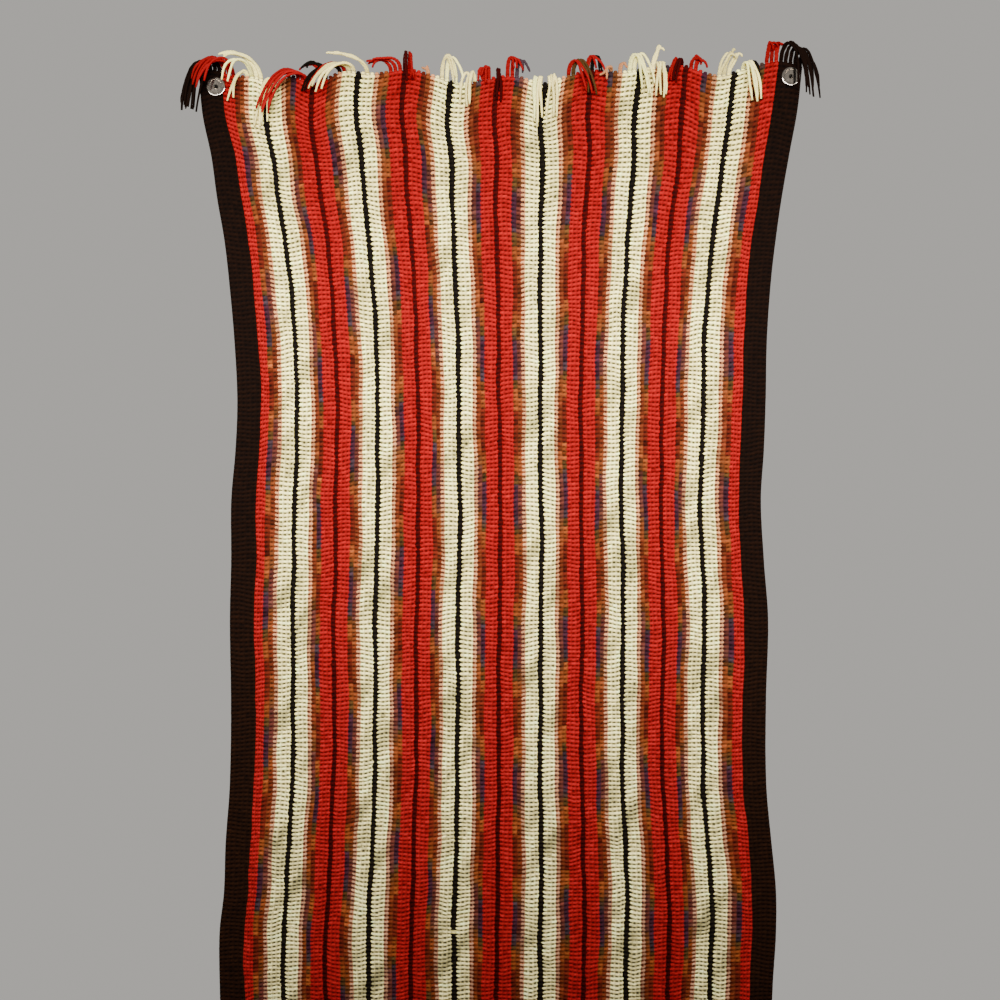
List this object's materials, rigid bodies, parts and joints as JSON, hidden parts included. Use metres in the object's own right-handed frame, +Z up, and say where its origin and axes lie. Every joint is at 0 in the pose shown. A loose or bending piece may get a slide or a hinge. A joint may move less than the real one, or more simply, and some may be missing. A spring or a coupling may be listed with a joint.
{
  "type": "crochet afghan with two round magnets",
  "caption": "Lengthwise-striped crochet afghan with yarn-end fringes, hung at its top corners by round magnets.",
  "frame": {"origin": "middle of the cloth's top edge, on the plane of the wall it hangs on", "axes": "+Z up the cloth's length, +Y into the wall, +X to the right seen from the front; the front faces -Y"},
  "size_m": [1.0576, 0.0448, 1.8528],
  "materials": {
    "striped_yarn": "matte crocheted acrylic yarn in brown, red, cream, black, maroon and variegated stripes",
    "fringe_yarn": "matte twisted acrylic yarn ends in the colours of their rows",
    "magnet_steel": "nickel-plated, lightly scuffed"
  },
  "bodies": {
    "root": {"afghan": "striped_yarn", "top_fringe": "fringe_yarn", "bottom_fringe": "fringe_yarn", "left_magnet": "magnet_steel", "right_magnet": "magnet_steel"}
  },
  "joints": []
}
